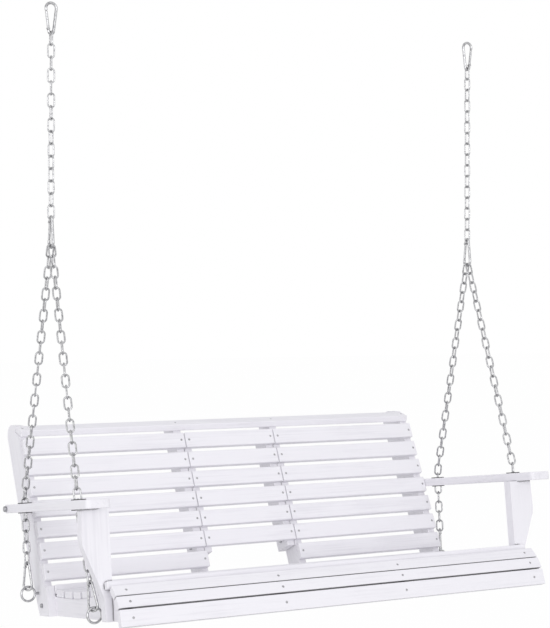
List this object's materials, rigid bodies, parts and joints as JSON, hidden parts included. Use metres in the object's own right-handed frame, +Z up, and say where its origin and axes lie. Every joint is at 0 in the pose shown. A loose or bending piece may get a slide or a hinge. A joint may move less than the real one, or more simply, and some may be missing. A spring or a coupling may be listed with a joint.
{
  "type": "hanging swing bench",
  "caption": "White slatted wooden porch swing bench with arms and a fold-down centre console, hung on Y-shaped steel chains with snap hooks.",
  "frame": {"origin": "midway between the bearing points (inner tops) of the two top hooks", "axes": "+Z up, +Y towards the back of the bench, +X to the viewer's right when facing the seat"},
  "size_m": [1.494, 0.8306, 1.7011],
  "materials": {
    "white_wood": "satin white paint",
    "zinc_steel": "bright zinc",
    "dark_steel": "black coating"
  },
  "bodies": {
    "hangers": {"top_hooks": "zinc_steel"},
    "bench": {"arm_washers": "dark_steel", "chain_hooks": "zinc_steel", "eye_bolts": "zinc_steel", "frame_bolts": "zinc_steel", "front_apron": "white_wood", "left_arm": "white_wood", "left_back_slat_1": "white_wood", "left_back_slat_2": "white_wood", "left_back_slat_3": "white_wood", "left_back_slat_4": "white_wood", "left_back_slat_5": "white_wood", "left_back_slat_6": "white_wood", "left_back_slat_7": "white_wood", "left_end_stile": "white_wood", "left_end_stringer": "white_wood", "left_front_chain": "zinc_steel", "left_inner_stile": "white_wood", "left_inner_stringer": "white_wood", "left_post": "white_wood", "left_rear_chain": "zinc_steel", "left_upper_chain": "zinc_steel", "lower_nosing": "white_wood", "right_arm": "white_wood", "right_back_slat_1": "white_wood", "right_back_slat_2": "white_wood", "right_back_slat_3": "white_wood", "right_back_slat_4": "white_wood", "right_back_slat_5": "white_wood", "right_back_slat_6": "white_wood", "right_back_slat_7": "white_wood", "right_end_stile": "white_wood", "right_end_stringer": "white_wood", "right_front_chain": "zinc_steel", "right_inner_stile": "white_wood", "right_inner_stringer": "white_wood", "right_post": "white_wood", "right_rear_chain": "zinc_steel", "right_upper_chain": "zinc_steel", "seat_slats": "white_wood", "slat_screws": "dark_steel", "top_cap": "white_wood", "upper_nosing": "white_wood"},
    "console": {"console_screws": "dark_steel", "console_slat_1": "white_wood", "console_slat_2": "white_wood", "console_slat_3": "white_wood", "console_slat_4": "white_wood", "console_slat_5": "white_wood", "console_slat_6": "white_wood", "left_console_stile": "white_wood", "right_console_stile": "white_wood"},
    "gate_left_front": {"left_front_gate": "zinc_steel"},
    "gate_left_junction": {"left_junction_gate": "zinc_steel"},
    "gate_left_rear": {"left_rear_gate": "zinc_steel"},
    "gate_left_top": {"left_top_gate": "zinc_steel"},
    "gate_right_front": {"right_front_gate": "zinc_steel"},
    "gate_right_junction": {"right_junction_gate": "zinc_steel"},
    "gate_right_rear": {"right_rear_gate": "zinc_steel"},
    "gate_right_top": {"right_top_gate": "zinc_steel"}
  },
  "joints": [
    {"name": "swing", "type": "hinge", "parent": "hangers", "child": "bench", "pos_m": [0, 0, -0.08], "axis": [1, 0, 0], "range_deg": [-25, 25]},
    {"name": "console_fold", "type": "hinge", "parent": "bench", "child": "console", "pos_m": [0, 0.18604, -1.54141], "axis": [1, 0, 0], "range_deg": [0, 111]},
    {"name": "left_front_gate_open", "type": "hinge", "parent": "bench", "child": "gate_left_front", "pos_m": [-0.69018, -0.24848, -1.54973], "axis": [-0.7629, -0.6459, 0.0277], "range_deg": [0, 20], "stiffness_Nm_per_rad": 0.3, "springref_deg": -20.05},
    {"name": "left_junction_gate_open", "type": "hinge", "parent": "bench", "child": "gate_left_junction", "pos_m": [-0.695, 0.00797, -0.59268], "axis": [-1, 0, 0], "range_deg": [0, 20], "stiffness_Nm_per_rad": 0.3, "springref_deg": -20.05},
    {"name": "left_rear_gate_open", "type": "hinge", "parent": "bench", "child": "gate_left_rear", "pos_m": [-0.70803, 0.16592, -1.55568], "axis": [-0.766, -0.6412, 0.0453], "range_deg": [0, 20], "stiffness_Nm_per_rad": 0.3, "springref_deg": -20.05},
    {"name": "left_top_gate_open", "type": "hinge", "parent": "hangers", "child": "gate_left_top", "pos_m": [-0.70297, 0, -0.06602], "axis": [0, 1, 0], "range_deg": [0, 20], "stiffness_Nm_per_rad": 0.3, "springref_deg": -20.05},
    {"name": "right_front_gate_open", "type": "hinge", "parent": "bench", "child": "gate_right_front", "pos_m": [0.69018, -0.24848, -1.54973], "axis": [-0.7629, 0.6459, -0.0277], "range_deg": [0, 20], "stiffness_Nm_per_rad": 0.3, "springref_deg": -20.05},
    {"name": "right_junction_gate_open", "type": "hinge", "parent": "bench", "child": "gate_right_junction", "pos_m": [0.695, 0.00797, -0.62648], "axis": [-1, 0, 0], "range_deg": [0, 20], "stiffness_Nm_per_rad": 0.3, "springref_deg": -20.05},
    {"name": "right_rear_gate_open", "type": "hinge", "parent": "bench", "child": "gate_right_rear", "pos_m": [0.70803, 0.16592, -1.55568], "axis": [-0.766, 0.6412, -0.0453], "range_deg": [0, 20], "stiffness_Nm_per_rad": 0.3, "springref_deg": -20.05},
    {"name": "right_top_gate_open", "type": "hinge", "parent": "hangers", "child": "gate_right_top", "pos_m": [0.70297, 0, -0.06602], "axis": [0, -1, 0], "range_deg": [0, 20], "stiffness_Nm_per_rad": 0.3, "springref_deg": -20.05}
  ]
}
